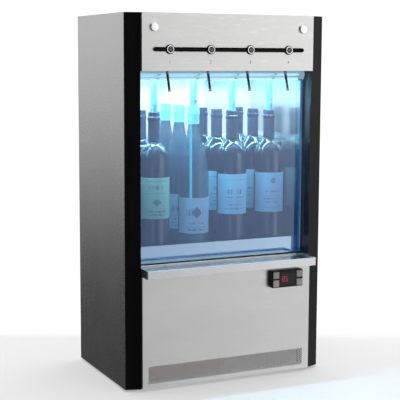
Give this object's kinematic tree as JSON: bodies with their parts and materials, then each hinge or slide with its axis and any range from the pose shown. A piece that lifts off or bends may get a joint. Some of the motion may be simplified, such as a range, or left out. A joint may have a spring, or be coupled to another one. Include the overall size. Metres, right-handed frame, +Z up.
{
  "type": "wine preservation dispenser",
  "caption": "Cooled wine dispenser cabinet with a row of push buttons and spouts, a lit glass flap in front of stored bottles, a drip tray and a ventilated machine base.",
  "frame": {"origin": "centre of the bounding box, on the surface that the feet stand on", "axes": "+X to the right seen from the front, +Y from the front towards the rear panel, +Z up"},
  "size_m": [0.53, 0.371, 0.895],
  "materials": {
    "brushed_panel": "horizontally brushed stainless steel",
    "tray_steel": "bright brushed stainless steel",
    "drip_plate": "darker satin stainless steel",
    "cabinet_steel": "satin grey coated sheet",
    "zinc_sheet": "galvanised sheet",
    "post_black": "gloss black extrusion",
    "polished_steel": "polished stainless steel",
    "screw_steel": "zinc plated",
    "strip_black": "satin black",
    "button_black": "gloss black",
    "rubber_black": "matt black rubber",
    "board_green": "circuit board",
    "valve_plastic": "moulded dark plastic",
    "clear_tube": "clear hose",
    "column_clear": "clear plastic lit by the lamp",
    "stopper_rubber": "pale translucent rubber",
    "manifold_brass": "machined",
    "gas_metal": "machined and plated",
    "lamp_diffuser": "frosted, lit",
    "flap_glass": "clear float glass",
    "liner_steel": "satin stainless steel lit by the lamp",
    "foam": "rigid foam",
    "controller_black": "fine textured black",
    "display_red": "smoked window",
    "key_grey": "soft grey keys",
    "supply_metal": "perforated case",
    "inlet_black": "moulded black",
    "compressor_black": "gloss black enamel",
    "copper": "drawn copper",
    "fan_black": "moulded black",
    "evaporator_metal": "plain aluminium",
    "bottle_dark": "dark green glass, full",
    "bottle_flute": "blue-green glass, full",
    "capsule": "satin foil",
    "label_paper": "uncoated paper"
  },
  "bodies": {
    "cabinet": {"base_pan": "zinc_sheet", "feet": "rubber_black", "left_side_panel": "cabinet_steel", "right_side_panel": "cabinet_steel", "top_panel": "cabinet_steel", "rear_panel": "cabinet_steel", "rear_screws": "screw_steel", "left_corner_post": "post_black", "right_corner_post": "post_black", "header_fascia": "brushed_panel", "header_caps": "polished_steel", "button_strip": "strip_black", "button_bezels": "polished_steel", "button_board": "board_green", "spouts": "polished_steel", "spout_glands": "rubber_black", "wine_valves": "valve_plastic", "wine_lines": "clear_tube", "stopper_columns": "column_clear", "stoppers": "stopper_rubber", "dip_tubes": "clear_tube", "gas_manifold": "manifold_brass", "gas_regulator": "gas_metal", "gas_inlet": "gas_metal", "light_bar": "lamp_diffuser", "hinge_bushes": "valve_plastic", "liner_left": "liner_steel", "liner_right": "liner_steel", "liner_back": "liner_steel", "liner_floor": "liner_steel", "foam_panels": "foam", "bottle_platform": "liner_steel", "compartment_floor": "zinc_sheet", "lower_front_panel": "brushed_panel", "controller_case": "controller_black", "controller_display": "display_red", "power_supply": "supply_metal", "power_inlet": "inlet_black", "compressor": "compressor_black", "condenser": "copper", "condenser_fan_frame": "fan_black", "refrigerant_pipes": "copper", "evaporator": "evaporator_metal", "tall_bottles": "bottle_dark", "flute_bottles": "bottle_flute", "bottle_capsules": "capsule", "bottle_labels": "label_paper"},
    "flap": {"glass_pane": "flap_glass", "hinge_rail": "polished_steel"},
    "tray": {"drip_tray": "tray_steel", "drip_plate": "drip_plate"},
    "fan_rotor": {"condenser_fan_rotor": "fan_black"},
    "button_1": {"button_1": "button_black"},
    "key_1": {"key_1": "key_grey"},
    "button_2": {"button_2": "button_black"},
    "key_2": {"key_2": "key_grey"},
    "button_3": {"button_3": "button_black"},
    "key_3": {"key_3": "key_grey"},
    "button_4": {"button_4": "button_black"},
    "key_4": {"key_4": "key_grey"}
  },
  "joints": [
    {"name": "flap_hinge", "type": "hinge", "parent": "cabinet", "child": "flap", "pos_m": [0, -0.1085, 0.752], "axis": [-1, 0, 0], "range_deg": [0, 38]},
    {"name": "tray_slide", "type": "slide", "parent": "cabinet", "child": "tray", "axis": [0, -1, 0], "range_m": [0, 0.08]},
    {"name": "fan_spin", "type": "hinge", "parent": "cabinet", "child": "fan_rotor", "pos_m": [-0.11, -0.0635, 0.087], "axis": [0, 1, 0], "continuous": true},
    {"name": "button_1_press", "type": "slide", "parent": "cabinet", "child": "button_1", "axis": [0, 1, 0], "range_m": [0, 0.0025], "stiffness_N_per_m": 900, "springref_m": -0.001},
    {"name": "button_2_press", "type": "slide", "parent": "cabinet", "child": "button_2", "axis": [0, 1, 0], "range_m": [0, 0.0025], "stiffness_N_per_m": 900, "springref_m": -0.001},
    {"name": "button_3_press", "type": "slide", "parent": "cabinet", "child": "button_3", "axis": [0, 1, 0], "range_m": [0, 0.0025], "stiffness_N_per_m": 900, "springref_m": -0.001},
    {"name": "button_4_press", "type": "slide", "parent": "cabinet", "child": "button_4", "axis": [0, 1, 0], "range_m": [0, 0.0025], "stiffness_N_per_m": 900, "springref_m": -0.001},
    {"name": "key_1_press", "type": "slide", "parent": "cabinet", "child": "key_1", "axis": [0, 1, 0], "range_m": [0, 0.0012], "stiffness_N_per_m": 900, "springref_m": -0.001},
    {"name": "key_2_press", "type": "slide", "parent": "cabinet", "child": "key_2", "axis": [0, 1, 0], "range_m": [0, 0.0012], "stiffness_N_per_m": 900, "springref_m": -0.001},
    {"name": "key_3_press", "type": "slide", "parent": "cabinet", "child": "key_3", "axis": [0, 1, 0], "range_m": [0, 0.0012], "stiffness_N_per_m": 900, "springref_m": -0.001},
    {"name": "key_4_press", "type": "slide", "parent": "cabinet", "child": "key_4", "axis": [0, 1, 0], "range_m": [0, 0.0012], "stiffness_N_per_m": 900, "springref_m": -0.001}
  ]
}
